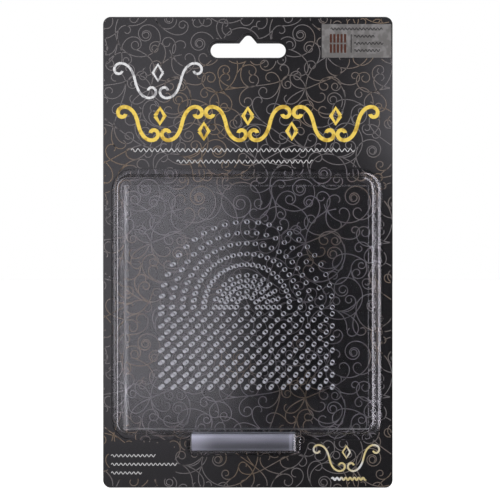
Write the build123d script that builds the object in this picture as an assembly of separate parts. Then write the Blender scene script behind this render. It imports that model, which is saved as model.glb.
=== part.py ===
from build123d import *
import math
import os

# A bead maker's wire jig in its hanging retail pack: a clear plate with a pattern of peg holes
# and ten loose pegs, held on a printed two-layer card by a clear thermoformed blister.
# Millimetres. The origin is the centre of the hang slot in the card's back face, +Z is up, and
# the printed front looks along -Y. A depth is a distance in front of the card's back face.

# Jig plate, which everything else is sized round
plate_width = 95.25
plate_thickness = 6.35
plate_edge_break = 0.3
plate_card_gap = 0.05
column_pitch = 4.7625
first_row_drop = 2.55

# Hole pattern in counts: a fan of half rings over rows of holes
outer_ring_pitch_count = 7
ring_radius_shares = [2 / 16, 3 / 16, 4 / 16, 5 / 16, 6 / 16, 8 / 16, 10 / 16, 12 / 16, 14 / 16, 1]
ring_hole_counts = [7, 7, 13, 13, 13, 25, 25, 25, 25, 25]
row_count = 13
long_row_count = 15

# Pegs, in two bundles end to end
peg_diameter = 1.5875
peg_length = 19.05
peg_end_break = 0.2
peg_hole_clearance = 0.0625
peg_side_gap = 0.12
peg_end_gap = 0.3
peg_layer_counts = [3, 2]
peg_nest_angle = 60.0

# Sleeve of soft frosted film that keeps the pegs together
sleeve_film = 0.35
sleeve_corner_radius = 1.3
sleeve_height = 6.6
sleeve_peg_clearance = 0.15
sleeve_end_margin = 0.7

# Card: two boards. The borders are measured from the roots of the bubble and the pocket
back_board = 0.5
front_board = 0.45
card_corner_radius = 3.0
card_top_border = 13.1
card_header = 48.84
card_side_border = 5.64
card_foot_border = 13.85

# Hang hole: a long slot with a peaked crown over its middle
slot_width = 29.7
slot_height = 5.7
crown_half_base = 3.5
crown_peak_height = 4.2
crown_peak_radius = 2.0
front_hole_ease = 0.7
front_hole_shift_x = -0.25
front_hole_shift_z = 0.2

# Blister: one thin sheet with a square bubble, a peg pocket below it and a flange round both
sheet = 0.35
bubble_corner_radius = 6.0
bubble_draft_angle = 12.0
bubble_root_radius = 2.2
bubble_shift_x = -0.3
bubble_rise = 0.87
plate_wall_gap = 2.09
plate_front_gap = 0.45
front_edge_radius = 1.2
flange_side_margin = 4.44
flange_end_margin = 9.0
flange_corner_radius = 6.0
flange_clearance = 0.2
window_clearance = 0.2

# Peg pocket, which opens into the bubble
pocket_corner_radius = 1.6
pocket_draft_angle = 8.0
pocket_root_radius = 1.0
pocket_shift_x = -1.3
sleeve_plate_gap = 1.6
sleeve_pocket_gap = 0.2
sleeve_end_gap = 0.3
sleeve_foot_gap = 0.3

# How far each cut runs past the face it opens
overrun = 2.0


def plane_at(depth):
    """The plane that lies this far in front of the card's back face, looking forward."""
    return Plane.XZ.offset(depth)


def place(x, below_slot):
    """A place in such a plane, given by its distance below the hang slot."""
    return Pos(x, -below_slot)


def draft_inset(height, angle):
    """How far a drafted wall leans in over a height."""
    return height * math.tan(math.radians(angle))


def wall_run(angle):
    """How wide the sheet is where a drafted wall crosses a plane of the card."""
    return sheet / math.cos(math.radians(angle))


def root_reach(radius, angle):
    """How far the rounded root of a drafted wall reaches over the flange."""
    return radius / math.tan(math.radians((90 + angle) / 2))


# Depths worked out from the sizes above
flange_depth = back_board + sheet
card_depth = flange_depth + front_board
plate_back_depth = back_board + plate_card_gap
plate_front_depth = plate_back_depth + plate_thickness
bubble_depth = plate_front_depth + plate_front_gap + sheet
peg_pitch = peg_diameter + peg_side_gap
sleeve_depth = (max(peg_layer_counts) - 1) * peg_pitch + peg_diameter + 2 * (sleeve_peg_clearance + sleeve_film)
sleeve_centre_y = -(back_board + sleeve_pocket_gap + sleeve_depth / 2)
pocket_depth = back_board + sleeve_depth + 2 * sleeve_pocket_gap + sheet

# Widths and places worked out from the plate outwards, and down from the hang slot
bubble_lean = draft_inset(plate_front_depth - flange_depth, bubble_draft_angle)
bubble_width = plate_width + 2 * (plate_wall_gap + bubble_lean + wall_run(bubble_draft_angle))
bubble_below_slot = card_header + bubble_width / 2
plate_below_slot = bubble_below_slot + bubble_rise
sleeve_below_slot = plate_below_slot + plate_width / 2 + sleeve_plate_gap + sleeve_height / 2
sleeve_length = 2 * (peg_length + sleeve_end_margin) + peg_end_gap
pocket_lean = draft_inset(pocket_depth - flange_depth, pocket_draft_angle)
pocket_width = sleeve_length + 2 * (sleeve_end_gap + pocket_lean + wall_run(pocket_draft_angle))
pocket_foot_below_slot = sleeve_below_slot + sleeve_height / 2 + sleeve_foot_gap + sheet + pocket_lean
card_width = bubble_width + 2 * card_side_border
card_height = card_top_border + pocket_foot_below_slot + card_foot_border


def hang_hole(ease):
    """Outline of the hang hole, let out all round by the ease."""
    slot = SlotOverall(slot_width, slot_height)
    foot = slot_height / 2 - crown_peak_radius
    slope = crown_peak_height / crown_half_base
    half_foot = crown_half_base + crown_peak_radius / slope
    peak = slot_height / 2 + crown_peak_height
    crown = Polygon((-half_foot, foot), (half_foot, foot), (0, peak), align=None)
    crown = fillet(crown.vertices().sort_by(Axis.Y)[-1], crown_peak_radius)
    hole = slot + crown
    if ease:
        hole = offset(hole, ease)
    return hole


def card_outline():
    """The card's rounded rectangle, placed about the hang slot."""
    centre_below_slot = card_height / 2 - card_top_border
    return place(0, centre_below_slot) * RectangleRounded(card_width, card_height, card_corner_radius)


def bubble_outline(grow):
    """The bubble where its wall meets the flange, let out by grow."""
    shape = RectangleRounded(bubble_width + 2 * grow, bubble_width + 2 * grow, bubble_corner_radius + grow)
    return place(bubble_shift_x, bubble_below_slot) * shape


def pocket_outline(grow):
    """The peg pocket where its wall meets the flange. It starts inside the bubble."""
    top_below_slot = bubble_below_slot + bubble_width / 2 - bubble_corner_radius
    height = pocket_foot_below_slot - top_below_slot
    shape = RectangleRounded(pocket_width + 2 * grow, height + 2 * grow, pocket_corner_radius + grow)
    return place(pocket_shift_x, top_below_slot + height / 2) * shape


def flange_outline(grow):
    """The flange, which lies between the two boards."""
    top = card_header - flange_end_margin
    foot = pocket_foot_below_slot + flange_end_margin
    width = bubble_width + 2 * flange_side_margin
    shape = RectangleRounded(width + 2 * grow, foot - top + 2 * grow, flange_corner_radius + grow)
    return place(bubble_shift_x, (top + foot) / 2) * shape


def drafted_box(outline, near_depth, far_depth, angle, edge_radius):
    """A box that narrows towards its front and has a rounded front edge."""
    box = extrude(plane_at(near_depth) * outline, far_depth - near_depth, taper=angle)
    front_edges = box.faces().sort_by(Axis.Y)[0].edges()
    return fillet(front_edges, edge_radius)


def rooted(box, bed, root_radius):
    """The box on the bed of the forming tool, with its root rounded all round."""
    form = box + bed
    bed_front = max(form.faces().filter_by(Axis.Y), key=lambda face: len(face.inner_wires()))
    return fillet(bed_front.inner_wires()[0].edges(), root_radius)


def blister_form(skin):
    """The forming tool's shape. Skin 0 gives the outside and one sheet thickness the inside."""
    near = flange_depth - skin
    share = skin / sheet
    bubble_grow = draft_inset(skin, bubble_draft_angle) - share * wall_run(bubble_draft_angle)
    pocket_grow = draft_inset(skin, pocket_draft_angle) - share * wall_run(pocket_draft_angle)
    edge_radius = front_edge_radius - skin
    bubble = drafted_box(bubble_outline(bubble_grow), near, bubble_depth - skin, bubble_draft_angle, edge_radius)
    pocket = drafted_box(pocket_outline(pocket_grow), near, pocket_depth - skin, pocket_draft_angle, edge_radius)
    bed = extrude(plane_at(near) * flange_outline(overrun), -overrun)
    return rooted(bubble, bed, bubble_root_radius + skin) + rooted(pocket, bed, pocket_root_radius + skin)


def make_back_card():
    """The rear board, printed on the side that shows through the blister."""
    outline = card_outline() - hang_hole(0)
    return extrude(plane_at(0) * outline, back_board)


def make_front_card():
    """The front board, with a window for the blister and its back pressed over the flange."""
    board = extrude(plane_at(back_board) * card_outline(), card_depth - back_board)
    bubble_hole = bubble_outline(root_reach(bubble_root_radius, bubble_draft_angle) + window_clearance)
    pocket_hole = pocket_outline(root_reach(pocket_root_radius, pocket_draft_angle) + window_clearance)
    hole = Pos(front_hole_shift_x, front_hole_shift_z) * hang_hole(front_hole_ease)
    through = extrude(plane_at(back_board - overrun) * (bubble_hole + pocket_hole + hole), card_depth + 2 * overrun)
    recess = extrude(plane_at(flange_depth) * flange_outline(flange_clearance), -(sheet + overrun))
    return board - through - recess


def make_blister():
    """The clear sheet: bubble, peg pocket and flange, all of one thickness."""
    shell = blister_form(0) - blister_form(sheet)
    keep = extrude(plane_at(back_board) * flange_outline(0), bubble_depth)
    return shell & keep


def hole_places():
    """Centres of the plate's holes about the centre of the fan, which is the plate's centre."""
    outer_radius = outer_ring_pitch_count * column_pitch
    places = [(0, 0)]
    for share, holes in zip(ring_radius_shares, ring_hole_counts):
        radius = outer_radius * share
        for k in range(holes):
            turn = math.pi * k / (holes - 1)
            places.append((radius * math.cos(turn), radius * math.sin(turn)))
    for row in range(row_count):
        holes = long_row_count - row % 2
        z = -(first_row_drop + row * column_pitch / 2)
        for k in range(holes):
            places.append(((k - (holes - 1) / 2) * column_pitch, z))
    return places


def make_jig_plate():
    """The clear plate with a straight peg hole at each place of the pattern."""
    outline = place(0, plate_below_slot) * Rectangle(plate_width, plate_width)
    plate = extrude(plane_at(plate_back_depth) * outline, plate_thickness)
    plate = chamfer(plate.edges(), plate_edge_break)
    hole = Circle((peg_diameter + peg_hole_clearance) / 2)
    drills = [place(0, plate_below_slot) * Pos(x, z) * hole for x, z in hole_places()]
    drills = plane_at(back_board - overrun) * Sketch(drills)
    return plate - extrude(drills, plate_thickness + 2 * overrun)


def make_peg_sleeve():
    """A soft film sleeve, open at both ends, round both bundles of pegs."""
    outer = RectangleRounded(sleeve_depth, sleeve_height, sleeve_corner_radius)
    bore_depth = sleeve_depth - 2 * sleeve_film
    bore = RectangleRounded(bore_depth, sleeve_height - 2 * sleeve_film, sleeve_corner_radius - sleeve_film)
    centre = (pocket_shift_x - sleeve_length / 2, sleeve_centre_y, -sleeve_below_slot)
    section = Plane(origin=centre, x_dir=(0, 1, 0), z_dir=(1, 0, 0))
    return extrude(section * (outer - bore), sleeve_length)


def peg_places():
    """Where each peg starts: the x of its inner end, its side, its y and its height."""
    lowest = -sleeve_below_slot - sleeve_height / 2 + sleeve_film + sleeve_peg_clearance + peg_diameter / 2
    layer_rise = peg_pitch * math.sin(math.radians(peg_nest_angle))
    places = []
    for side in (-1, 1):
        for layer, count in enumerate(peg_layer_counts):
            for k in range(count):
                y = sleeve_centre_y + (k - (count - 1) / 2) * peg_pitch
                places.append((pocket_shift_x + side * peg_end_gap / 2, side, y, lowest + layer * layer_rise))
    return places


def make_peg(inner_end_x, side, y, z):
    """A plain metal peg with its ends broken, lying along X."""
    start = Plane(origin=(inner_end_x, y, z), z_dir=(side, 0, 0))
    peg = extrude(start * Circle(peg_diameter / 2), peg_length)
    return chamfer(peg.edges().filter_by(GeomType.CIRCLE), peg_end_break)


os.makedirs("parts", exist_ok=True)
export_step(make_back_card(), "parts/back_card.step")
export_step(make_front_card(), "parts/front_card.step")
export_step(make_blister(), "parts/blister.step")
export_step(make_jig_plate(), "parts/jig_plate.step")
export_step(make_peg_sleeve(), "parts/peg_sleeve.step")
for number, (inner_end_x, side, y, z) in enumerate(peg_places(), start=1):
    export_step(make_peg(inner_end_x, side, y, z), f"parts/peg_{number}.step")
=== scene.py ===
import math
import random

import bmesh
import bpy
from bpy.props import FloatProperty, FloatVectorProperty, IntProperty, PointerProperty
from bpy.types import Operator, Panel, PropertyGroup
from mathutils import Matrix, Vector


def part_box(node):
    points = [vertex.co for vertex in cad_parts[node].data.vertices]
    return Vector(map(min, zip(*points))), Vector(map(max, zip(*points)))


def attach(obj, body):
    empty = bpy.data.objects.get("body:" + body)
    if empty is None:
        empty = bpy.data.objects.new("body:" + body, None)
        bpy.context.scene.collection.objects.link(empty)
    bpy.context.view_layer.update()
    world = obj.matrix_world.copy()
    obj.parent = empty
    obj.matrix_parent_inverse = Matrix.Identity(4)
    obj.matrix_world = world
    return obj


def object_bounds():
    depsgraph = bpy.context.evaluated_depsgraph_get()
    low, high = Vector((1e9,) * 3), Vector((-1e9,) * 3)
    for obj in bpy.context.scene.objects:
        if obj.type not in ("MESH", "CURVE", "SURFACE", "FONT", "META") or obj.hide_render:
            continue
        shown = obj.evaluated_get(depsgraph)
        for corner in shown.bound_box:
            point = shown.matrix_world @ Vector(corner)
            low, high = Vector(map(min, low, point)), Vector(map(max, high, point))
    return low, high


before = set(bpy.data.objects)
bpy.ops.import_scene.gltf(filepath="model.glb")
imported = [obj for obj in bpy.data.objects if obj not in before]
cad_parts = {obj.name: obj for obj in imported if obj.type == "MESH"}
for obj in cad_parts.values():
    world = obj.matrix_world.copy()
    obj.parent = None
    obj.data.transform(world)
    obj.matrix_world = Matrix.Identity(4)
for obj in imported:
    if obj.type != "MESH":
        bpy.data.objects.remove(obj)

bl_info = {
    "name": "Wire jig in its hanging pack",
    "version": (1, 0, 0),
    "blender": (4, 5, 0),
    "location": "View3D > Sidebar > Wire jig",
    "description": "Printed card, clear blister, drilled acrylic plate and pegs of a wire jig",
    "category": "Object",
}

# Metres throughout. The card's back lies on Y = 0 and its front looks along -Y, so a height
# above a board's face is a step towards -Y.
CAD_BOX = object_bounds()
MM = 0.001
FRONT_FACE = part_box("front_card")[0].y
INNER_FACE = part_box("back_card")[0].y
PLATE_LOW, PLATE_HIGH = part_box("jig_plate")
CARD_LOW, CARD_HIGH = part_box("front_card")


def shade(red, green, blue):
    """A screen colour of 0 to 255 as the linear colour that a shader takes."""
    def linear(level):
        level /= 255
        return level / 12.92 if level <= 0.04045 else ((level + 0.055) / 1.055) ** 2.4
    return (linear(red), linear(green), linear(blue))


def colour_prop(name, description, red, green, blue):
    return FloatVectorProperty(name=name, description=description, subtype="COLOR", size=3,
                               min=0, max=1, default=shade(red, green, blue))


def length_prop(name, description, millimetres):
    return FloatProperty(name=name, description=description, subtype="DISTANCE", unit="LENGTH",
                         default=millimetres * MM, precision=5)


def number_prop(name, description, value, unit="NONE"):
    return FloatProperty(name=name, description=description, default=value, unit=unit)


def count_prop(name, description, value, least=1):
    return IntProperty(name=name, description=description, default=value, min=least)


class PrintSettings(PropertyGroup):
    """Inks, line widths and the scroll pattern of the card."""
    charcoal: colour_prop("Charcoal", "Varnished ground colour of the print", 28, 27, 29)
    stock: colour_prop("Back stock", "Unprinted side of the boards", 206, 204, 198)
    # The cut edge's dark grey is partly painted shade, darkened for the shadow in the hang slot's
    # cut edges
    core: colour_prop("Board core", "Cut edge of the boards", 40, 38, 38)
    # Near-black painted shade on the back board above the window, for the shadow seen at the hang
    # hole
    painted_shade: colour_prop("Glue", "Glued part of the back board, seen at the hang hole", 6, 6, 6)
    scroll_ink: colour_prop("Scroll ink", "Thin scroll lines", 114, 110, 111)
    scroll_warm: colour_prop("Warm scroll ink", "Bronze tint that drifts through the scroll lines",
                             122, 106, 90)
    gold: colour_prop("Gold", "Row of scrolls over the window", 222, 192, 84)
    old_gold: colour_prop("Old gold", "Duller patches of the gold", 184, 150, 50)
    silver: colour_prop("Silver", "Scrolls above the gold row", 206, 206, 208)
    dull_silver: colour_prop("Dull silver", "Duller patches of the silver", 150, 149, 152)
    pale_gold: colour_prop("Pale gold", "Scrolls at the card's foot", 196, 180, 128)
    panel_grey: colour_prop("Panel grey", "Small panel in the top corner", 93, 91, 90)
    panel_light: colour_prop("Panel light", "Lighter patches of the panel", 112, 110, 110)
    panel_brown: colour_prop("Panel brown", "Row of peg marks on the panel", 62, 27, 10)
    panel_black: colour_prop("Panel black", "Fine rules on the panel", 26, 24, 24)
    rule_white: colour_prop("Rule white", "Fine rules on the charcoal", 190, 189, 190)
    inner_ink: colour_prop("Inner scroll ink", "Scroll lines on the back board", 118, 114, 118)
    scroll_width: length_prop("Scroll line", "Width of a scroll line", 0.31)
    inner_width: length_prop("Inner scroll line", "Width of a scroll line on the back board", 0.32)
    film: length_prop("Ink film", "Height of a printed line above its board", 0.015)
    bed: length_prop("Ink bed", "Depth of a printed line's foot in its board", 0.01)
    tile: length_prop("Pattern repeat", "Distance after which the scrolls repeat", 60.8)
    edge_gap: length_prop("Trim", "Least distance of a scroll from the card's edge", 0.25)
    stems: count_prop("Stems", "Long scrolls in one repeat", 15)
    shoots: count_prop("Shoots", "Short curls in one repeat", 62, 0)
    seed: count_prop("Seed", "Picks another scroll layout", 5, 0)


class PlateSettings(PropertyGroup):
    """The drilled holes of the acrylic plate, as in the part's source."""
    pitch: length_prop("Peg pitch", "Distance between peg holes in a row", 4.7625)
    row_drop: length_prop("First row", "Drop of the first row under the fan's centre", 2.55)
    rows: count_prop("Rows", "Rows under the fan", 13)
    long_row: count_prop("Holes in a row", "Holes in the longer rows", 15)
    fan_pitches: count_prop("Fan radius", "Outer half ring's radius in pitches", 7)
    bore: length_prop("Bore", "Diameter of a peg hole", 1.65)
    frost: length_prop("Frosted skin", "Thickness of the drilled wall's frosted skin", 0.06)
    sides: count_prop("Sides", "Sides of a frosted wall", 16, 8)
    # Painted glow: emission on the frosted walls that stands in for light the plate brings to them
    glow: number_prop("Wall glow", "Light that the plate brings to a frosted wall", 0.95)
    frost_colour: colour_prop("Frost", "Drilled acrylic that scatters the light", 146, 146, 152)


class PackSettings(PropertyGroup):
    """Clear and milky plastics and the pegs' steel."""
    sheet_ior: number_prop("Sheet IOR", "Refraction of the blister, low for faint edges", 1.36)
    plate_ior: number_prop("Acrylic IOR", "Refraction of the plate, low for faint edges", 1.36)
    ripple: length_prop("Ripple", "Height of the blister's forming waves", 0.004)
    air_gap: length_prop("Air gap", "From the sheet's surface to the boards that hold it", 0.01)
    milk: colour_prop("Milky film", "Colour of the peg sleeve", 133, 134, 144)
    steel: colour_prop("Steel", "Colour of the pegs", 196, 194, 190)


class StageSettings(PropertyGroup):
    """Camera, floor and light."""
    distance: length_prop("Camera distance", "From the lens to the card's front", 390)
    camera_x: length_prop("Camera side", "Camera's place to the right of the hang slot", 45)
    camera_z: length_prop("Camera height", "Camera's height over the hang slot", -80.5)
    frame_width: length_prop("Frame width", "What the picture takes in at the card's front", 196.9)
    centre_x: length_prop("Centre side", "Middle of the picture on the card's front", 0.85)
    centre_z: length_prop("Centre height", "Middle of the picture on the card's front", -78.7)
    floor_size: length_prop("Floor", "Width of the floor", 6000)
    floor_colour: colour_prop("Floor colour", "Pale floor", 244, 244, 243)
    key_power: number_prop("Key light", "Soft light at the left", 6.0, "POWER")
    fill_power: number_prop("Fill light", "Soft light at the upper right", 2.0, "POWER")
    room_level: number_prop("Room light", "Even light on matt surfaces", 0.6)
    window_level: number_prop("Panel level", "Brightness of the light panel seen in gloss", 0.80)


# Looks. A ramp is given as (low, high) or (low, high, level at low, level at high), a bump as
# (strength, depth in metres), and a grain's Scale is in waves per metre.
CLOUD_SHARE = 0.04  # scale of the grain's soft clouds as a share of the fine grain's
DUST_TIMES = 9.0  # how much finer the haze is than the ripple
DUST_RANGE = (0.45, 0.8)
PRINT_GRAIN = {"Scale": 1300.0, "Amount": 0.22}
BOARD_FIBRE = {"Scale": 520.0, "Amount": 0.16}
INK_GRAIN = {"Scale": 1800.0, "Amount": 0.12}
FROST_GRAIN = {"Scale": 2600.0, "Amount": 0.35}
STEEL_GRAIN = {"Scale": 1500.0, "Amount": 0.12}
FLOOR_GRAIN = {"Scale": 40.0, "Amount": 0.01}
BOARD_BUMP = (0.10, 0.00002)
INK_BUMP = (0.1, 0.00001)
FROST_BUMP = (0.4, 0.00003)
FILM_BUMP = (0.6, 0.0002)
STEEL_BUMP = (0.25, 0.00002)
# The third roughness is the dull one of the painted shade on the back board above the window
STOCK_ROUGH, VARNISH_ROUGH, PAINTED_SHADE_ROUGH = 0.75, 0.13, 0.9
VARNISH = {"IOR": 1.58, "Specular IOR Level": 0.68}
FACING = (0.4, 0.6)  # how far a face looks forward or back before it has that side's look
PAINTED_SHADE_RISE = 3 * MM  # from the window's top to where the painted shade starts
# Inks: colour, the one that drifts through it, roughness, patches in a metre, metallic
INKS = {
    "scroll ink": ("scroll_ink", "scroll_warm", 0.3, 34.0, 0.35),
    "inner scroll ink": ("inner_ink", "scroll_warm", 0.3, 34.0, 0.35),
    "gold ink": ("gold", "old_gold", 0.35, 420.0, 0.0),
    "silver ink": ("silver", "dull_silver", 0.35, 520.0, 0.0),
    "pale gold ink": ("pale_gold", "silver", 0.35, 120.0, 0.0),
    "white ink": ("rule_white", None, 0.3, 0.0, 0.0),
    "panel grey ink": ("panel_grey", "panel_light", 0.4, 420.0, 0.0),
    "panel brown ink": ("panel_brown", None, 0.3, 0.0, 0.0),
    "panel black ink": ("panel_black", None, 0.3, 0.0, 0.0)}
INK_DRIFT = (0.48, 0.66)  # noise levels between which the second colour takes over
SAWN = (0.1, 0.7)  # how far a clear face looks sideways before it is dull
HAZE_TIMES = 3  # roughness of the haziest places over that of the clearest
ACRYLIC_LOOK = {"tint": (0.985, 0.99, 0.995), "rough": 0.004, "edge_rough": 0.3}
SHEET_LOOK = {"tint": (0.99, 0.99, 0.995), "rough": 0.006, "edge_rough": 0.05}
ACRYLIC_WAVES = {"height": 0.000004, "scale": 60.0, "stretch": 1.0}
SHEET_WAVES = {"scale": 45.0, "stretch": 1.6}
PAINTED_GLOW_WAY = (0.6, 0.0, 0.8)  # the way the frosted walls with the most painted glow look
FROST_ROUGH = 0.55
FILM = {"Roughness": 0.32, "IOR": 1.5, "Transmission Weight": 0.45}
FILM_WAVES = {"Scale": 160.0, "Stretch": 0.25}
FILM_CLOUD = (0.3, 0.7, 0.86, 1.12)
# Painted light on the milky film: painted highlights along its top, its lower rim, its left end and
# a strip near its right end, with painted shade between
FILM_PAINTED_TOP = (0.30, 0.98, 0.36, 1.5)
FILM_PAINTED_RIM = (0.22, 0.08, 0.0, 0.5)
FILM_PAINTED_LEFT_END = (0.26, 0.02, 0.0, 0.8)
FILM_PAINTED_STRIP = ((0.945, 0.96), (0.985, 0.97, 0.0, 0.9))
STEEL_LINES = (90.0, 2200.0, 2200.0)
STEEL_ROUGH = (0.3, 0.7, 0.2, 0.36)

# The room that gloss and clear plastic show, by direction. Rise is height over distance, and
# slope is X over the distance ahead of the card.
PANEL_FOOT = (-0.195, -0.12, 0.26, 1.0)
PANEL_HEAD = (0.13, 0.26, 1.0, 0.53)
PANEL_SIDE = (-0.165, -0.095, 1.0, 0.0)
FAR_LEFT = (-1.6, -0.5, 3.0, 1.0)
FAR_RIGHT = (0.25, 0.7, 0.0, 6.0)
PATCH_FOOT = (0.07, 0.11)
PATCH_HEAD = (0.24, 0.18)
PATCH_SIDE = (0.008, 0.03, 0.0, 1.7)
DARK_ROOM = 0.04
BEHIND = (-0.25, 0.0)
UNDERFOOT = (-0.6, -0.25, 0.1, 1.0)
LEAST_AHEAD = 0.02  # keeps the slopes finite
ROOM_TINT = (0.98, 0.95, 1.03)
WHITE = (1.0, 1.0, 1.0)
FLOOR_GLOW, FLOOR_ROUGH, FLOOR_GAP = 0.55, 0.9, 0.05 * MM
KEY_LAMP = {"place": (-0.75, -0.62, 0.22), "size": 0.55}
FILL_LAMP = {"place": (0.65, -0.55, 0.45), "size": 0.5}
SENSOR = 36  # millimetres across
NEAREST = 0.01  # from the lens, for what the picture shows


class Nodes:
    """A node tree under construction: add a node with its values, and link sockets by name."""

    def __init__(self, tree):
        self.tree = tree
        self.tree.nodes.clear()

    def add(self, kind, links=None, **values):
        node = self.tree.nodes.new(kind)
        for name, value in values.items():
            setattr(node, name, value)
        for name, source in (links or {}).items():
            self.put(node, name, source)
        return node

    def put(self, node, name, source):
        socket = node.inputs[name]
        if isinstance(source, bpy.types.NodeSocket):
            self.tree.links.new(source, socket)
        elif hasattr(source, "outputs"):
            self.tree.links.new(source.outputs[0], socket)
        elif socket.type == "RGBA":
            socket.default_value = (*source[:3], 1)
        else:
            socket.default_value = source

    def work(self, operation, first, *others):
        """One operation on a number and each of the others in turn."""
        for other in others or (0.0,):
            first = self.add("ShaderNodeMath", {0: first, 1: other}, operation=operation)
        return first

    def times(self, *parts):
        return self.work("MULTIPLY", *parts)

    def plus(self, *parts):
        return self.work("ADD", *parts)

    def ramp(self, value, low, high, start=0.0, end=1.0):
        """A smooth step from start to end as value goes from low to high."""
        return self.add("ShaderNodeMapRange", {
            "Value": value, "From Min": low, "From Max": high, "To Min": start, "To Max": end},
            interpolation_type="SMOOTHSTEP")

    def noise(self, vector, scale, detail, rough=0.5):
        node = self.add("ShaderNodeTexNoise", {"Vector": vector, "Scale": scale,
                                               "Detail": detail, "Roughness": rough})
        return node.outputs["Fac"]

    def split(self, vector):
        """The outputs X, Y and Z of a vector."""
        return self.add("ShaderNodeSeparateXYZ", {"Vector": vector}).outputs

    def place(self):
        """The point on the piece in Object coordinates."""
        return self.add("ShaderNodeTexCoord").outputs["Object"]

    def facing(self):
        """The way the surface looks, without its bumps."""
        return self.add("ShaderNodeNewGeometry").outputs["True Normal"]

    def choose(self, factor, first, second):
        """A number between two, by a factor."""
        return self.add("ShaderNodeMix", {0: factor, 2: first, 3: second},
                        data_type="FLOAT").outputs[0]

    def mix(self, factor, first, second):
        """A colour between two, by a factor."""
        return self.add("ShaderNodeMix", {0: factor, 6: first, 7: second},
                        data_type="RGBA").outputs[2]

    def scaled(self, colour, level):
        """A colour with its brightness multiplied by a level."""
        return self.add("ShaderNodeVectorMath", {0: colour, "Scale": level},
                        operation="SCALE").outputs[0]

    def bump(self, height, relief):
        """A normal from a height, with the relief's strength and depth."""
        return self.add("ShaderNodeBump", {"Height": height, "Strength": relief[0],
                                           "Distance": relief[1]})

    def group(self, tree, values):
        """The outputs of a group placed with its own values."""
        return self.add("ShaderNodeGroup", values, node_tree=tree).outputs

    def principled(self, values):
        return self.add("ShaderNodeBsdfPrincipled", values)

    def finish(self, shader):
        self.add("ShaderNodeOutputMaterial", {"Surface": shader})


def new_material(name):
    """An empty material and its nodes under construction."""
    material = bpy.data.materials.new(name)
    material.use_nodes = True
    return material, Nodes(material.node_tree)


def group_tree(name, inputs, outputs):
    """A shader node group with named number inputs and outputs."""
    tree = bpy.data.node_groups.new(name, "ShaderNodeTree")
    for way, labels in (("INPUT", inputs), ("OUTPUT", outputs)):
        for label in labels:
            tree.interface.new_socket(label, in_out=way, socket_type="NodeSocketFloat")
    nodes = Nodes(tree)
    return tree, nodes, nodes.add("NodeGroupInput").outputs, nodes.add("NodeGroupOutput")


def grain_group():
    """Fine mottling of ink and board: a level about 1 for colours, and a height for bump."""
    if "Print grain" in bpy.data.node_groups:
        return bpy.data.node_groups["Print grain"]
    tree, nodes, given, made = group_tree("Print grain", ("Scale", "Amount"), ("Level", "Height"))
    place = nodes.place()
    fine = nodes.noise(place, given["Scale"], 3.0, 0.6)
    cloud = nodes.noise(place, nodes.times(given["Scale"], CLOUD_SHARE), 2.0)
    about_nought = nodes.work("SUBTRACT", nodes.plus(fine, cloud), 1.0)
    swing = nodes.times(about_nought, given["Amount"])
    nodes.put(made, "Level", nodes.plus(swing, 1.0))
    nodes.put(made, "Height", fine)
    return tree


def ripple_group():
    """Slow waves and faint pulls in a formed or cast clear sheet, as a height."""
    if "Sheet ripple" in bpy.data.node_groups:
        return bpy.data.node_groups["Sheet ripple"]
    tree, nodes, given, made = group_tree("Sheet ripple", ("Scale", "Stretch"), ("Height", "Haze"))
    place, scale = nodes.place(), given["Scale"]
    size = nodes.add("ShaderNodeCombineXYZ", {"X": given["Stretch"], "Y": 1.0, "Z": 1.0})
    drawn = nodes.add("ShaderNodeVectorMath", {0: place, 1: size}, operation="MULTIPLY")
    dust = nodes.noise(place, nodes.times(scale, DUST_TIMES), 4.0)
    nodes.put(made, "Height", nodes.noise(drawn, scale, 1.5))
    nodes.put(made, "Haze", nodes.ramp(dust, *DUST_RANGE))
    return tree


def board_material(name, with_painted_shade):
    """Charcoal print under varnish in front, plain stock behind and the cut core at the edges.
    The back board is printed only behind the blister; above it the board is painted near-black and
    dull as painted shade, for the shadow seen at the hang hole."""
    settings = bpy.context.scene.wirejig_print
    material, nodes = new_material(name)
    grain = nodes.group(grain_group(), PRINT_GRAIN)
    fibre = nodes.group(grain_group(), BOARD_FIBRE)
    facing = nodes.split(nodes.facing())["Y"]
    toward_back = nodes.ramp(facing, *FACING)
    toward_front = nodes.ramp(nodes.times(facing, -1.0), *FACING)
    # Painted shade: above the window's top the back board turns near-black and dull, for the shadow
    # at the hang hole
    painted_shade_foot = WINDOW[0][1] + WINDOW[1][1] + PAINTED_SHADE_RISE
    above = nodes.ramp(nodes.split(nodes.place())["Z"], painted_shade_foot, painted_shade_foot + MM)
    painted_shade = nodes.times(above, 1.0 if with_painted_shade else 0.0)
    ground = nodes.mix(painted_shade, settings.charcoal, settings.painted_shade)
    print_colour = nodes.scaled(ground, grain["Level"])
    stock_colour = nodes.scaled(settings.stock, fibre["Level"])
    # cut edges darkened as painted shade
    shaded_core_colour = nodes.scaled(settings.core, fibre["Level"])
    bare_colour = nodes.mix(toward_back, shaded_core_colour, stock_colour)
    varnish = nodes.ramp(toward_front, 0.0, 1.0, STOCK_ROUGH, VARNISH_ROUGH)
    rough = nodes.work("MAXIMUM", varnish, nodes.times(painted_shade, PAINTED_SHADE_ROUGH))
    nodes.finish(nodes.principled({
        "Base Color": nodes.mix(toward_front, bare_colour, print_colour), "Roughness": rough,
        "Normal": nodes.bump(fibre["Height"], BOARD_BUMP), **VARNISH}))
    return material


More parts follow.
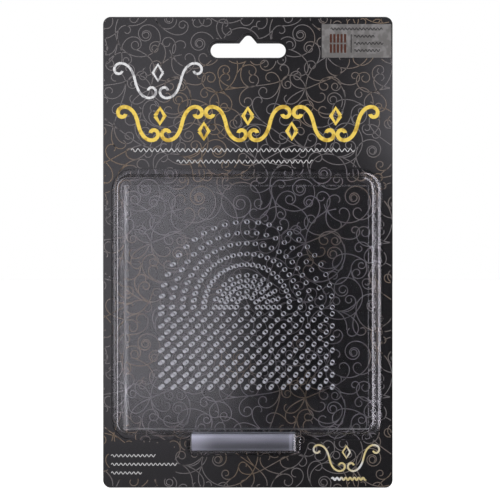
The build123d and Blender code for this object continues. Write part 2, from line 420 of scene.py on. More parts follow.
def ink_material(name):
    """One printed ink with a fine grain. A second colour drifts through it in soft patches, and
    a metallic ink answers the light panel more than the ground does."""
    settings = bpy.context.scene.wirejig_print
    first, second, rough, patch, metal = INKS[name]
    colour = getattr(settings, first)
    material, nodes = new_material(name)
    grain = nodes.group(grain_group(), INK_GRAIN)
    if second:
        amount = nodes.ramp(nodes.noise(nodes.place(), patch, 1.0), *INK_DRIFT)
        colour = nodes.mix(amount, colour, getattr(settings, second))
    nodes.finish(nodes.principled({
        "Base Color": nodes.scaled(colour, grain["Level"]), "Roughness": rough,
        "Metallic": metal, "Normal": nodes.bump(grain["Height"], INK_BUMP)}))
    return material


def clear_material(name, ior, tint, rough, edge_rough, height, scale, stretch):
    """Clear plastic: lamps shine through it, its waves bend what is behind it, and its sawn or
    formed sides are duller than its faces."""
    material, nodes = new_material(name)
    ripple = nodes.group(ripple_group(), {"Scale": scale, "Stretch": stretch})
    haze = nodes.ramp(ripple["Haze"], 0.0, 1.0, rough, rough * HAZE_TIMES)
    front = nodes.work("ABSOLUTE", nodes.split(nodes.facing())["Y"])
    sideways = nodes.work("SUBTRACT", 1.0, front)
    glass = nodes.principled({
        "Base Color": tint, "IOR": ior, "Transmission Weight": 1.0,
        "Roughness": nodes.plus(haze, nodes.ramp(sideways, *SAWN, 0.0, edge_rough)),
        "Normal": nodes.bump(ripple["Height"], (1.0, height))})
    through = nodes.add("ShaderNodeBsdfTransparent", {"Color": tint})
    shadow = nodes.add("ShaderNodeLightPath").outputs["Is Shadow Ray"]
    nodes.finish(nodes.add("ShaderNodeMixShader", {0: shadow, 1: glass, 2: through}))
    return material


def frost_material():
    """Frosted acrylic with a painted glow: an emission that stands in for the light the plate
    brings through the walls, strongest on the walls that look to the upper right."""
    settings = bpy.context.scene.wirejig_plate
    material, nodes = new_material("frosted hole wall")
    grain = nodes.group(grain_group(), FROST_GRAIN)
    # Painted glow, strongest on walls that face the upper right
    lit = nodes.add("ShaderNodeVectorMath", {0: nodes.facing(), 1: PAINTED_GLOW_WAY},
                    operation="DOT_PRODUCT")
    glow = nodes.ramp(lit.outputs["Value"], 0.0, 1.0, 0.0, settings.glow)
    colour = nodes.scaled(settings.frost_colour, grain["Level"])
    nodes.finish(nodes.principled({
        "Base Color": colour, "Roughness": FROST_ROUGH, "Emission Strength": 1.0,
        "Emission Color": nodes.scaled(colour, glow),
        "Normal": nodes.bump(grain["Height"], FROST_BUMP)}))
    return material


def share_along(nodes, corners, axis):
    """How far a point lies along a piece's box, from 0 to 1, on axis 0, 1 or 2."""
    ends = [corner[axis] for corner in corners]
    return nodes.add("ShaderNodeMapRange", {
        "Value": nodes.split(nodes.place())["XYZ"[axis]], "From Min": min(ends),
        "From Max": max(ends)})


def film_material():
    """Soft milky film with painted light: a painted highlight along its upper side, its lower rim
    and its cut ends, and painted shade between, where less light gets in among the pegs."""
    settings = bpy.context.scene.wirejig_pack
    material, nodes = new_material("milky film")
    ripple = nodes.group(ripple_group(), FILM_WAVES)
    cloud = nodes.ramp(ripple["Height"], *FILM_CLOUD)
    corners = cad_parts["peg_sleeve"].bound_box
    up, along = share_along(nodes, corners, 2), share_along(nodes, corners, 0)
    # Painted highlights and painted shade across the film
    strip = nodes.times(*(nodes.ramp(along, *edge) for edge in FILM_PAINTED_STRIP))
    light = nodes.plus(nodes.ramp(up, *FILM_PAINTED_TOP), nodes.ramp(up, *FILM_PAINTED_RIM),
                       nodes.ramp(along, *FILM_PAINTED_LEFT_END), strip)
    nodes.finish(nodes.principled({
        "Base Color": nodes.scaled(settings.milk, nodes.times(light, cloud)),
        "Normal": nodes.bump(ripple["Height"], FILM_BUMP), **FILM}))
    return material


def steel_material():
    """Drawn steel wire with fine drawing lines along the peg."""
    settings = bpy.context.scene.wirejig_pack
    material, nodes = new_material("peg steel")
    along = nodes.add("ShaderNodeVectorMath", {0: nodes.place(), 1: STEEL_LINES},
                      operation="MULTIPLY")
    lines = nodes.noise(along, 1.0, 2.0)
    grain = nodes.group(grain_group(), STEEL_GRAIN)
    nodes.finish(nodes.principled({
        "Base Color": nodes.scaled(settings.steel, grain["Level"]), "Metallic": 1.0,
        "Roughness": nodes.ramp(lines, *STEEL_ROUGH),
        "Normal": nodes.bump(lines, STEEL_BUMP)}))
    return material


def finish_node(name, material):
    """Gives a CAD object its material."""
    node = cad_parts[name]
    if not node.data.materials:
        node.data.materials.append(material)
    for slot in node.material_slots:
        slot.material = material


# Geometry Nodes trees. Both work on a flat drawing in X and Y, and stand it up at the end, so
# that a drawing's Y becomes Z and a height above the drawing becomes a step towards -Y.
WALL_RADIUS = 0.48  # of bore and skin together: the skin lies across the bore's wall


def geometry_tree(name, lengths, counts=()):
    """A modifier's tree that takes a drawing, named lengths and counts, and a material."""
    tree = bpy.data.node_groups.new(name, "GeometryNodeTree")
    tree.is_modifier = True
    for way in ("OUTPUT", "INPUT"):
        tree.interface.new_socket("Geometry", in_out=way, socket_type="NodeSocketGeometry")
    for label in lengths:
        socket = tree.interface.new_socket(label, in_out="INPUT", socket_type="NodeSocketFloat")
        socket.subtype = "DISTANCE"
    for label in counts:
        tree.interface.new_socket(label, in_out="INPUT", socket_type="NodeSocketInt")
    tree.interface.new_socket("Material", in_out="INPUT", socket_type="NodeSocketMaterial")
    nodes = Nodes(tree)
    return tree, nodes, nodes.add("NodeGroupInput").outputs, nodes.add("NodeGroupOutput")


def stand_up(nodes, given, made, flat, face):
    """Turns the flat drawing upright at its board's face, realizes it and sets its material."""
    shift = nodes.add("ShaderNodeCombineXYZ", {"X": 0.0, "Y": face, "Z": 0.0})
    upright = nodes.add("GeometryNodeTransform", {
        "Geometry": flat, "Translation": shift, "Rotation": (math.pi / 2, 0.0, 0.0)})
    real = nodes.add("GeometryNodeRealizeInstances", {"Geometry": upright})
    painted = nodes.add("GeometryNodeSetMaterial", {
        "Geometry": real, "Material": given["Material"]})
    nodes.put(made, "Geometry", painted)


def line_tree():
    """Printed lines: a flat strip of ink along every edge chain of a drawing."""
    name = "Printed lines"
    if name in bpy.data.node_groups:
        return bpy.data.node_groups[name]
    tree, nodes, given, made = geometry_tree(name, ("Line width", "Film", "Bed", "Face"))
    chains = nodes.add("GeometryNodeMeshToCurve", {"Mesh": given["Geometry"]})
    level = nodes.add("GeometryNodeSetCurveNormal", {"Curve": chains}, mode="Z_UP")
    depth = nodes.plus(given["Film"], given["Bed"])
    strip = nodes.add("GeometryNodeCurvePrimitiveQuadrilateral", {
        "Width": given["Line width"], "Height": depth})
    inked = nodes.add("GeometryNodeCurveToMesh", {
        "Curve": level, "Profile Curve": strip, "Fill Caps": True})
    flat = nodes.add("GeometryNodeSetShadeSmooth", {"Geometry": inked, "Shade Smooth": False})
    above = nodes.times(nodes.work("SUBTRACT", given["Film"], given["Bed"]), -0.5)
    middle = nodes.plus(given["Face"], above)
    stand_up(nodes, given, made, flat, middle)
    return tree


def wall_tree():
    """Frosted hole walls: a short tube at every point of the hole pattern."""
    lengths = ("Bore", "Skin", "Length", "Face")
    tree, nodes, given, made = geometry_tree("Frosted hole walls", lengths, ("Sides",))
    across = nodes.plus(given["Bore"], given["Skin"])
    ring = nodes.add("GeometryNodeCurvePrimitiveCircle", {
        "Resolution": given["Sides"], "Radius": nodes.times(across, WALL_RADIUS)})
    level = nodes.add("GeometryNodeSetCurveNormal", {"Curve": ring.outputs["Curve"]}, mode="Z_UP")
    wall = nodes.add("GeometryNodeCurvePrimitiveQuadrilateral", {
        "Width": given["Skin"], "Height": given["Length"]})
    tube = nodes.add("GeometryNodeCurveToMesh", {"Curve": level, "Profile Curve": wall})
    placed = nodes.add("GeometryNodeInstanceOnPoints", {
        "Points": given["Geometry"], "Instance": tube})
    stand_up(nodes, given, made, placed, given["Face"])
    return tree


def grow(name, points, edges, tree, values):
    """Runs a geometry tree on a drawing and returns its result as a plain mesh object."""
    drawing = bpy.data.meshes.new(name + "_drawing")
    drawing.from_pydata([(x, z, 0) for x, z in points], edges, [])
    holder = bpy.data.objects.new(name, drawing)
    bpy.context.scene.collection.objects.link(holder)
    modifier = holder.modifiers.new("grow", "NODES")
    modifier.node_group = tree
    for item in tree.interface.items_tree:
        if item.in_out == "INPUT" and item.name in values:
            modifier[item.identifier] = values[item.name]
    bpy.context.view_layer.update()
    seen = holder.evaluated_get(bpy.context.evaluated_depsgraph_get())
    mesh = bpy.data.meshes.new_from_object(seen)
    mesh.name = name
    holder.modifiers.clear()
    holder.data = mesh
    bpy.data.meshes.remove(drawing)
    face_outwards(holder)
    return holder


def face_outwards(piece):
    """Turns a closed mesh the right way out."""
    shape = bmesh.new()
    shape.from_mesh(piece.data)
    bmesh.ops.recalc_face_normals(shape, faces=shape.faces)
    shape.to_mesh(piece.data)
    shape.free()
    piece.data.update()


def settle(piece, body):
    """Puts a piece on its body."""
    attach(piece, body)


# Drawn lines: each is a list of (x, z) points
LEAST_STEP, LONGEST_STEP = 0.25 * MM, 0.9 * MM
STEP_TURN = 0.35  # radians that a line may turn in one step
LINE_END = 0.999  # share of its length at which a line is done
# What the dice pick from for each kind of line: curls and bases in radians per millimetre, and
# lengths in millimetres.
LONG_HOOK = {"curl": (0.6, 0.9), "power": (3.2, 4.6), "base": (0.07, 0.13), "length": (50, 84)}
LONG_DOUBLE = {"curl": (0.7, 1.0), "power": (2.4, 3.2), "length": (38, 56)}
SHORT_HOOK = {"curl": (0.65, 1.0), "power": (1.4, 2.4), "base": (0.04, 0.14), "length": (14, 26)}
HOOKS_IN_FIVE = 3
SHOOT_LEAVES = (0.05, 0.6)  # share of a stem's length at which a shoot may leave it
SHOOT_ANGLE = 0.12
SHOOT_ROOT = 5  # points of a shoot that may lie on its stem's own patch
TRIES = 14
PATCH = 1.6 * MM


def trace(start, heading, length, bend):
    """A line whose curvature, in radians per metre, is bend at each share of its length."""
    x, z = start
    line = [(x, z)]
    run = 0.0
    while run < length * LINE_END:
        turn = bend(run / length)
        step = min(LONGEST_STEP, STEP_TURN / max(abs(turn), 1e-6))
        step = min(max(LEAST_STEP, step), length - run)
        heading += turn * step / 2
        x += math.cos(heading) * step
        z += math.sin(heading) * step
        heading += turn * step / 2
        run += step
        line.append((x, z))
    return line


def double_curl(curl, power, side):
    """Curls in at both ends, opposite ways."""
    def bend(share):
        from_middle = 2 * share - 1
        return side * curl * math.copysign(abs(from_middle) ** power, from_middle) / MM
    return bend


def hook_curl(curl, power, side, base):
    """A slow bow that tightens into a curl at its far end."""
    return lambda share: side * (base + curl * share ** power) / MM


class Spread:
    """Counts how crowded each small patch of the repeat is, so that lines keep apart."""

    def __init__(self, repeat, patch):
        self.repeat = repeat
        self.count = int(repeat / patch)
        self.used = {}

    def patch(self, point):
        return tuple(int(value % self.repeat / self.repeat * self.count) % self.count
                     for value in point)

    def crowd(self, line):
        return sum(self.used.get(self.patch(point), 0) for point in line) / len(line)

    def mark(self, line):
        for point in line:
            column, row = self.patch(point)
            for across in (-1, 0, 1):
                for up in (-1, 0, 1):
                    key = ((column + across) % self.count, (row + up) % self.count)
                    self.used[key] = self.used.get(key, 0) + (1 if across or up else 2)


def scroll_stem(dice, repeat, number):
    """A long line that curls at one end or at both."""
    start = (dice.uniform(0, repeat), dice.uniform(0, repeat))
    heading = dice.uniform(0, 2 * math.pi)
    side = dice.choice((-1, 1))
    if number % 5 < HOOKS_IN_FIVE:
        kind = LONG_HOOK
        curl, power, base = (dice.uniform(*kind[part]) for part in ("curl", "power", "base"))
        bend = hook_curl(curl, power, side, base)
    else:
        kind = LONG_DOUBLE
        bend = double_curl(dice.uniform(*kind["curl"]), dice.uniform(*kind["power"]), side)
    return trace(start, heading, dice.uniform(*kind["length"]) * MM, bend)


def scroll_shoot(dice, stems):
    """A short curl that leaves a stem along its line."""
    stem = dice.choice(stems)
    at = int(len(stem) * dice.uniform(*SHOOT_LEAVES))
    (x, z), (next_x, next_z) = stem[at], stem[at + 1]
    side = dice.choice((-1, 1))
    heading = math.atan2(next_z - z, next_x - x) + dice.choice((0, math.pi)) + side * SHOOT_ANGLE
    curl, power, base = (dice.uniform(*SHORT_HOOK[part]) for part in ("curl", "power", "base"))
    length = dice.uniform(*SHORT_HOOK["length"]) * MM
    return trace((x, z), heading, length, hook_curl(curl, power, side, base))


def scroll_repeat(settings):
    """The lines of one repeat: each is the least crowded of several tries."""
    dice = random.Random(settings.seed)
    spread = Spread(settings.tile, PATCH)
    lines = []
    for number in range(settings.stems + settings.shoots):
        tries = []
        for _ in range(TRIES):
            if number < settings.stems:
                line = scroll_stem(dice, settings.tile, number)
                tries.append((spread.crowd(line), line))
            else:
                stems = lines[:settings.stems + (number - settings.stems) // 2]
                line = scroll_shoot(dice, stems)
                tries.append((spread.crowd(line[SHOOT_ROOT:]), line))
        chosen = min(tries, key=lambda entry: entry[0])[1]
        spread.mark(chosen)
        lines.append(chosen)
    return lines


def inside_round_box(point, centre, half, radius, grow_by=0.0):
    """Whether a point lies in a box with rounded corners, grown by a distance."""
    across = abs(point[0] - centre[0]) - half[0] + radius
    up = abs(point[1] - centre[1]) - half[1] + radius
    outside = math.hypot(max(across, 0), max(up, 0)) + min(max(across, up), 0) - radius
    return outside < grow_by


# Round boxes on the card: centre, half sizes and corner radius
CARD_CENTRE = ((CARD_LOW.x + CARD_HIGH.x) / 2, (CARD_LOW.z + CARD_HIGH.z) / 2)
CARD_HALF = ((CARD_HIGH.x - CARD_LOW.x) / 2, (CARD_HIGH.z - CARD_LOW.z) / 2)
CARD_CORNER = 3 * MM
WINDOW = ((-0.30 * MM, -100.20 * MM), (53.34 * MM, 53.34 * MM), 8.0 * MM)
POCKET = ((-1.30 * MM, -150.0 * MM), (22.52 * MM, 9.51 * MM), 2.7 * MM)
HANG_SLOT = ((-0.25 * MM, 0.2 * MM), (15.54 * MM, 3.55 * MM), 3.5 * MM)
HANG_CROWN = ((-0.25 * MM, 4.4 * MM), (3.2 * MM, 2.5 * MM), 2.4 * MM)
LABEL = ((42.8 * MM, 3.65 * MM), (13.7 * MM, 6.62 * MM), 0.3 * MM)
FOOT_NOTE = ((-41.8 * MM, -161.6 * MM), (12.6 * MM, 7.0 * MM), 1.5 * MM)
# Where the front's scrolls stop, each with the distance kept from it
KEPT_CLEAR = ((WINDOW, 0.15 * MM), (POCKET, 0.15 * MM), (HANG_SLOT, 0.35 * MM),
              (HANG_CROWN, 0.35 * MM), (LABEL, 0.0), (FOOT_NOTE, 0.0))
INNER_MARGIN = 1.6 * MM
REPEAT_COLUMNS, REPEAT_ROWS = range(-3, 4), range(-5, 3)


def on_front(point, settings):
    """Where the front board is printed with scrolls."""
    if not inside_round_box(point, CARD_CENTRE, CARD_HALF, CARD_CORNER, -settings.edge_gap):
        return False
    return not any(inside_round_box(point, *box, gap) for box, gap in KEPT_CLEAR)


def on_inner(point):
    """Where the back board is printed with scrolls, a little wider than the window."""
    return any(inside_round_box(point, *box, INNER_MARGIN) for box in (WINDOW, POCKET))


def cut(line, keeps):
    """The stretches of a line whose points the test keeps."""
    pieces, stretch = [], []
    for point in line:
        if keeps(point):
            stretch.append(point)
        else:
            if len(stretch) > 1:
                pieces.append(stretch)
            stretch = []
    if len(stretch) > 1:
        pieces.append(stretch)
    return pieces


def tiled(lines, repeat, keeps):
    """The repeat's lines laid over the whole card and cut to the printed places."""
    made = []
    for column in REPEAT_COLUMNS:
        for row in REPEAT_ROWS:
            for line in lines:
                made += cut([(x + column * repeat, z + row * repeat) for x, z in line], keeps)
    return made


def ink_lines(name, lines, width, ink, films=0, body="front", face=FRONT_FACE):
    """Printed lines in one ink, over so many other films of ink, as one piece on a body."""
    settings = bpy.context.scene.wirejig_print
    points, edges = [], []
    for line in lines:
        first = len(points)
        points += line
        edges += [(first + k, first + k + 1) for k in range(len(line) - 1)]
    values = {"Line width": width, "Film": settings.film, "Bed": settings.bed,
              "Face": face - films * settings.film, "Material": ink_material(ink)}
    settle(grow(name, points, edges, line_tree(), values), body)


# Ornament. Rows of scrolls are (middle, height, scrolls on either side, size), fine rules are
# (left end, right end, height), and a wave is (swing, period).
S_HALF = {"heading": 1.35, "length": 17.5 * MM, "curl": 0.77, "power": 1.5, "base": 0.046}
S_PITCH = 17.3 * MM
GEM_RISE, GEM_HALF = 3.0 * MM, (1.9 * MM, 3.1 * MM)
TITLE_ROW = (0.0, -28.9 * MM, 3, 1.0)
CREST_ROW = (-35.4 * MM, -12.0 * MM, 1, 1.04)
FOOT_ROW = (38.8 * MM, -160.6 * MM, 1, 0.78)
FOOT_RULE = (33.0 * MM, 46.5 * MM, -168.8 * MM)
TEXT_RULES = ((-46.0 * MM, 42.0 * MM, -39.4 * MM), (-28.0 * MM, 25.6 * MM, -43.9 * MM))
NOTE_LEFT = -53.8 * MM
NOTE_RULES = ((NOTE_LEFT, NOTE_LEFT + 17.5 * MM, -159.7 * MM),
              (NOTE_LEFT, NOTE_LEFT + 26.0 * MM, -163.1 * MM),
              (NOTE_LEFT, NOTE_LEFT + 12.0 * MM, -166.5 * MM))
TEXT_WAVE = (0.62 * MM, 2.2 * MM)
NOTE_WAVE = (0.45 * MM, 1.7 * MM)
PANEL_WAVE = (0.42 * MM, 1.4 * MM)
WAVE_POINTS = 10
TITLE_LINE, CREST_LINE, FOOT_LINE, RULE_LINE = 1.5 * MM, 1.0 * MM, 0.75 * MM, 0.3 * MM
PEG_LINE, PANEL_LINE = 0.85 * MM, 0.36 * MM

# On the corner panel, from its left side and its middle height
PEG_MARKS_LEFT, PEG_MARK_PITCH, PEG_MARK_LENGTH = 3.6 * MM, 1.4 * MM, 3.4 * MM
PEG_MARK_FEET = (-0.7 * MM, -4.7 * MM)
SPLIT_AT, SPLIT_FOOT, SPLIT_HEAD = 11.6 * MM, -4.6 * MM, 2.6 * MM
HEAD_RULE_HALF, HEAD_RULE_RISE = 10.2 * MM, 4.7 * MM
SIDE_RULES_GAP, SIDE_RULES_RISE, SIDE_RULES_DROP = 1.2 * MM, 1.8 * MM, 2.8 * MM
SIDE_RULES = (8.0 * MM, 11.4 * MM, 10.2 * MM)


def straight(start, end):
    return [start, ((start[0] + end[0]) / 2, (start[1] + end[1]) / 2), end]


def mirrored(lines, middle):
    return [[(2 * middle - x, z) for x, z in line] for line in lines]


def s_scroll(middle, height, up, size):
    """An S with curled ends. Its right end is the upper one where up is 1, not -1."""
    bend = hook_curl(S_HALF["curl"], S_HALF["power"], -1, S_HALF["base"])
    half = trace((0, 0), S_HALF["heading"], S_HALF["length"], bend)
    whole = [(-x, -z) for x, z in reversed(half[1:])] + half
    return [(middle + size * x, height + up * size * z) for x, z in whole]


def lozenge(middle, height, size):
    """A diamond, drawn as a closed line."""
    across, up = (half * size for half in GEM_HALF)
    return [(middle + across, height), (middle, height + up), (middle - across, height),
            (middle, height - up), (middle + across, height)]


def scroll_row(middle, height, count, size):
    """S scrolls that meet at their curls, with a lozenge in every arch: count on either side."""
    pitch, rise = S_PITCH * size, GEM_RISE * size
    ways = [1 - k % 2 * 2 for k in range(count)]
    right = [s_scroll(middle + (k + 0.5) * pitch, height, way, size) for k, way in enumerate(ways)]
    right += [lozenge(middle + k * pitch, height + ways[k] * rise, size) for k in range(1, count)]
    return right + mirrored(right, middle) + [lozenge(middle, height + rise, size)]


def wave_rule(start, end, height, wave):
    """A fine rule that waves evenly about its height."""
    swing, period = wave
    count = round((end - start) / period * WAVE_POINTS)
    return [(start + (end - start) * k / count,
             height + swing * math.sin(2 * math.pi * k / WAVE_POINTS)) for k in range(count + 1)]


class WIREJIG_OT_boards(Operator):
    """Varnished print, bare backs and cut edges of the two boards"""
    bl_idname = "wirejig.boards"
    bl_label = "Finish the boards"

    def execute(self, context):
        finish_node("back_card", board_material("inner printed board", True))
        finish_node("front_card", board_material("printed board", False))
        return {"FINISHED"}


class WIREJIG_OT_scrolls(Operator):
    """Thin scroll lines over the front board and on the back board inside the window"""
    bl_idname = "wirejig.scrolls"
    bl_label = "Print the scrolls"

    def execute(self, context):
        settings = context.scene.wirejig_print
        lines = scroll_repeat(settings)
        front = tiled(lines, settings.tile, lambda point: on_front(point, settings))
        inner = tiled(lines, settings.tile, on_inner)
        ink_lines("front_scrolls", front, settings.scroll_width, "scroll ink")
        ink_lines("inner_scrolls", inner, settings.inner_width, "inner scroll ink", body="card",
                  face=INNER_FACE)
        return {"FINISHED"}


class WIREJIG_OT_ornament(Operator):
    """Rows of scrolls in gold and silver, and fine white rules"""
    bl_idname = "wirejig.ornament"
    bl_label = "Print the flourishes"

    def execute(self, context):
        foot = [*scroll_row(*FOOT_ROW), wave_rule(*FOOT_RULE, NOTE_WAVE)]
        rules = [wave_rule(*rule, TEXT_WAVE) for rule in TEXT_RULES]
        rules += [wave_rule(*rule, NOTE_WAVE) for rule in NOTE_RULES]
        ink_lines("title_flourish", scroll_row(*TITLE_ROW), TITLE_LINE, "gold ink", films=1)
        ink_lines("crest_scrolls", scroll_row(*CREST_ROW), CREST_LINE, "silver ink", films=1)
        ink_lines("foot_scrolls", foot, FOOT_LINE, "pale gold ink", films=1)
        ink_lines("fine_rules", rules, RULE_LINE, "white ink", films=1)
        return {"FINISHED"}


class WIREJIG_OT_label(Operator):
    """Grey panel in the top corner with ten peg marks, one for each peg"""
    bl_idname = "wirejig.label"
    bl_label = "Print the corner panel"

    def execute(self, context):
        (middle, height), (half_x, half_z), _ = LABEL
        left = middle - half_x
        ground = [straight((left, height), (middle + half_x, height))]
        marks = []
        for foot in PEG_MARK_FEET:
            for number in range(5):
                x = left + PEG_MARKS_LEFT + PEG_MARK_PITCH * number
                low = height + foot
                marks.append(straight((x, low), (x, low + PEG_MARK_LENGTH)))
        split = left + SPLIT_AT
        rules = [straight((split, height + SPLIT_FOOT), (split, height + SPLIT_HEAD)),
                 wave_rule(middle - HEAD_RULE_HALF, middle + HEAD_RULE_HALF,
                           height + HEAD_RULE_RISE, PANEL_WAVE)]
        start = split + SIDE_RULES_GAP
        for number, length in enumerate(SIDE_RULES):
            z = height + SIDE_RULES_RISE - SIDE_RULES_DROP * number
            rules.append(wave_rule(start, start + length, z, PANEL_WAVE))
        ink_lines("panel_ground", ground, 2 * half_z, "panel grey ink")
        ink_lines("panel_pegs", marks, PEG_LINE, "panel brown ink", films=1)
        ink_lines("panel_rules", rules, PANEL_LINE, "panel black ink", films=1)
        return {"FINISHED"}


# Half rings of the fan: radius in sixteenths of the outer one, and holes
FAN_RINGS = ((2, 7), (3, 7), (4, 13), (5, 13), (6, 13), (8, 25), (10, 25), (12, 25), (14, 25),
             (16, 25))
WALL_SHORTER = 0.04 * MM  # than the plate is thick, so that its ends stay inside


def hole_centres(settings):
    """The fan of half rings over the rows of holes, about the plate's centre."""
    middle_x = (PLATE_LOW.x + PLATE_HIGH.x) / 2
    middle_z = (PLATE_LOW.z + PLATE_HIGH.z) / 2
    reach = settings.fan_pitches * settings.pitch
    places = [(0.0, 0.0)]
    for sixteenths, holes in FAN_RINGS:
        for k in range(holes):
            turn = math.pi * k / (holes - 1)
            radius = reach * sixteenths / 16
            places.append((radius * math.cos(turn), radius * math.sin(turn)))
    for row in range(settings.rows):
        holes = settings.long_row - row % 2
        drop = settings.row_drop + row * settings.pitch / 2
        places += [((k - (holes - 1) / 2) * settings.pitch, -drop) for k in range(holes)]
    return [(middle_x + x, middle_z + z) for x, z in places]


class WIREJIG_OT_plate(Operator):
    """Clear acrylic plate with the frosted wall of every drilled hole"""
    bl_idname = "wirejig.plate"
    bl_label = "Finish the plate"

    def execute(self, context):
        pack = context.scene.wirejig_pack
        settings = context.scene.wirejig_plate
        finish_node("jig_plate", clear_material("clear acrylic", pack.plate_ior, **ACRYLIC_LOOK,
                                                **ACRYLIC_WAVES))
        thickness = PLATE_HIGH.y - PLATE_LOW.y
        values = {"Bore": settings.bore, "Skin": settings.frost, "Length": thickness - WALL_SHORTER,
                  "Face": (PLATE_LOW.y + PLATE_HIGH.y) / 2, "Sides": settings.sides,
                  "Material": frost_material()}
        walls = grow("hole_walls", hole_centres(settings), [], wall_tree(), values)
        walls.data.shade_smooth()
        settle(walls, "plate")
        return {"FINISHED"}


class WIREJIG_OT_blister(Operator):
    """Clear formed sheet over the plate and the pegs, a hair off the boards that clamp it"""
    bl_idname = "wirejig.blister"
    bl_label = "Finish the blister"

    def execute(self, context):
        pack = context.scene.wirejig_pack
        finish_node("blister", clear_material("clear PET sheet", pack.sheet_ior, **SHEET_LOOK,
                                              height=pack.ripple, **SHEET_WAVES))
        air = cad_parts["blister"].modifiers.new("air gap", "DISPLACE")
        air.mid_level = 0.0
        air.strength = -pack.air_gap
        return {"FINISHED"}


class WIREJIG_OT_pegs(Operator):
    """Steel pegs and the milky film sleeve round them"""
    bl_idname = "wirejig.pegs"
    bl_label = "Finish the pegs"

    def execute(self, context):
        steel = steel_material()
        for number in range(1, 11):
            finish_node(f"peg_{number}", steel)
        finish_node("peg_sleeve", film_material())
        return {"FINISHED"}


def room_world(settings):
    """Even light, a white background, and a light panel at the front left that shows only in
    gloss and through clear plastic."""
    world = bpy.data.worlds.new("studio")
    bpy.context.scene.world = world
    world.use_nodes = True
    nodes = Nodes(world.node_tree)
    way = nodes.split(nodes.add("ShaderNodeTexCoord").outputs["Generated"])
    ahead = nodes.work("MAXIMUM", nodes.times(way["Y"], -1.0), LEAST_AHEAD)
    slope = nodes.work("DIVIDE", way["X"], ahead)
    flat = nodes.add("ShaderNodeCombineXYZ", {"X": way["X"], "Y": way["Y"], "Z": 0.0})
    along = nodes.add("ShaderNodeVectorMath", {0: flat}, operation="LENGTH").outputs["Value"]
    rise = nodes.work("DIVIDE", way["Z"], nodes.work("MAXIMUM", along, LEAST_AHEAD))
    panel = nodes.times(nodes.ramp(rise, *PANEL_FOOT), nodes.ramp(rise, *PANEL_HEAD),
                        nodes.ramp(slope, *FAR_LEFT), settings.window_level,
                        nodes.ramp(slope, *PANEL_SIDE))
    patch = nodes.times(nodes.ramp(rise, *PATCH_FOOT), nodes.ramp(rise, *PATCH_HEAD),
                        nodes.ramp(slope, *PATCH_SIDE))
    front = nodes.plus(panel, DARK_ROOM, patch, nodes.ramp(slope, *FAR_RIGHT))
    behind = nodes.ramp(way["Y"], *BEHIND)
    path = nodes.add("ShaderNodeLightPath").outputs
    through = nodes.times(behind, path["Is Transmission Ray"])
    down = nodes.work("MAXIMUM", nodes.ramp(way["Z"], *UNDERFOOT), through)
    seen = nodes.times(nodes.choose(behind, front, 1.0), down)
    gloss = nodes.work("MAXIMUM", path["Is Glossy Ray"], path["Is Transmission Ray"])
    lit = nodes.choose(gloss, settings.room_level, seen)
    sky = nodes.add("ShaderNodeBackground", {
        "Color": nodes.mix(path["Is Camera Ray"], nodes.mix(gloss, WHITE, ROOM_TINT), WHITE),
        "Strength": nodes.choose(path["Is Camera Ray"], lit, 1.0)})
    nodes.add("ShaderNodeOutputWorld", {"Surface": sky})


def soft_lamp(name, target, power, place, size):
    """A square lamp that looks at the target and shows in no reflection."""
    lamp = bpy.data.lights.new(name, "AREA")
    lamp.shape = "SQUARE"
    lamp.size = size
    lamp.energy = power
    holder = bpy.data.objects.new(name, lamp)
    holder.location = place
    holder.rotation_euler = (Vector(target) - Vector(place)).to_track_quat("-Z", "Y").to_euler()
    holder.visible_glossy = False
    holder.visible_transmission = False
    bpy.context.scene.collection.objects.link(holder)


def floor_material(settings):
    """Pale floor that a camera sees as white where no shadow falls."""
    material, nodes = new_material("pale floor")
    grain = nodes.group(grain_group(), FLOOR_GRAIN)
    colour = nodes.scaled(settings.floor_colour, grain["Level"])
    matt = nodes.principled({"Base Color": colour, "Roughness": FLOOR_ROUGH})
    path = nodes.add("ShaderNodeLightPath").outputs
    seen = nodes.work("MAXIMUM", path["Is Camera Ray"], path["Is Glossy Ray"],
                      path["Is Transmission Ray"])
    glow = nodes.add("ShaderNodeEmission", {"Strength": nodes.times(seen, FLOOR_GLOW)})
    nodes.finish(nodes.add("ShaderNodeAddShader", {0: matt, 1: glow}))
    return material


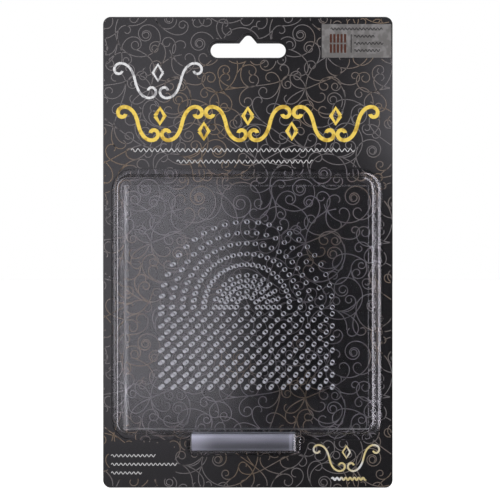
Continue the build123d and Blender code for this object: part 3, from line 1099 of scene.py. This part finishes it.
class WIREJIG_OT_stage(Operator):
    """Pale floor, soft light, white background and the camera"""
    bl_idname = "wirejig.stage"
    bl_label = "Set the stage"

    def execute(self, context):
        settings = context.scene.wirejig_stage
        room_world(settings)
        half = settings.floor_size / 2
        level = CAD_BOX[0].z - FLOOR_GAP
        mesh = bpy.data.meshes.new("floor")
        corners = ((-half, -half), (half, -half), (half, half), (-half, half))
        mesh.from_pydata([(x, y, level) for x, y in corners], [], [(0, 1, 2, 3)])
        mesh.materials.append(floor_material(settings))
        ground = bpy.data.objects.new("floor", mesh)
        context.scene.collection.objects.link(ground)
        ground.visible_glossy = False
        ground.visible_transmission = False
        middle = (0.0, 0.0, CARD_CENTRE[1])
        soft_lamp("key", middle, settings.key_power, **KEY_LAMP)
        soft_lamp("fill", middle, settings.fill_power, **FILL_LAMP)
        camera = bpy.data.cameras.new("camera")
        camera.sensor_width = SENSOR
        camera.lens = SENSOR * settings.distance / settings.frame_width
        camera.shift_x = (settings.centre_x - settings.camera_x) / settings.frame_width
        camera.shift_y = (settings.centre_z - settings.camera_z) / settings.frame_width
        camera.clip_start = NEAREST
        holder = bpy.data.objects.new("camera", camera)
        holder.location = (settings.camera_x, FRONT_FACE - settings.distance, settings.camera_z)
        holder.rotation_euler = (math.pi / 2, 0, 0)
        context.scene.collection.objects.link(holder)
        context.scene.camera = holder
        context.scene.view_settings.view_transform = "Standard"
        return {"FINISHED"}


class WIREJIG_PT_panel(Panel):
    """Lists the steps in the 3D view's sidebar"""
    bl_idname = "WIREJIG_PT_panel"
    bl_label = "Wire jig"
    bl_space_type = "VIEW_3D"
    bl_region_type = "UI"
    bl_category = "Wire jig"

    def draw(self, context):
        for operator in OPERATORS:
            self.layout.operator(operator.bl_idname)
        for name in SETTINGS:
            group = getattr(context.scene, name)
            for prop in group.bl_rna.properties:
                if not prop.is_readonly and prop.identifier != "name":
                    self.layout.prop(group, prop.identifier)


SETTINGS = {"wirejig_print": PrintSettings, "wirejig_plate": PlateSettings,
            "wirejig_pack": PackSettings, "wirejig_stage": StageSettings}
OPERATORS = (WIREJIG_OT_boards, WIREJIG_OT_scrolls, WIREJIG_OT_ornament, WIREJIG_OT_label,
             WIREJIG_OT_plate, WIREJIG_OT_blister, WIREJIG_OT_pegs, WIREJIG_OT_stage)


def register():
    for name, group in SETTINGS.items():
        bpy.utils.register_class(group)
        setattr(bpy.types.Scene, name, PointerProperty(type=group))
    for kind in (*OPERATORS, WIREJIG_PT_panel):
        bpy.utils.register_class(kind)


def unregister():
    for kind in (WIREJIG_PT_panel, *reversed(OPERATORS)):
        bpy.utils.unregister_class(kind)
    for name, group in SETTINGS.items():
        delattr(bpy.types.Scene, name)
        bpy.utils.unregister_class(group)


def main():
    register()
    bpy.ops.wirejig.stage()
    bpy.ops.wirejig.boards()
    bpy.ops.wirejig.scrolls()
    bpy.ops.wirejig.ornament()
    bpy.ops.wirejig.label()
    bpy.ops.wirejig.plate()
    bpy.ops.wirejig.blister()
    bpy.ops.wirejig.pegs()


if __name__ == "__main__":
    main()
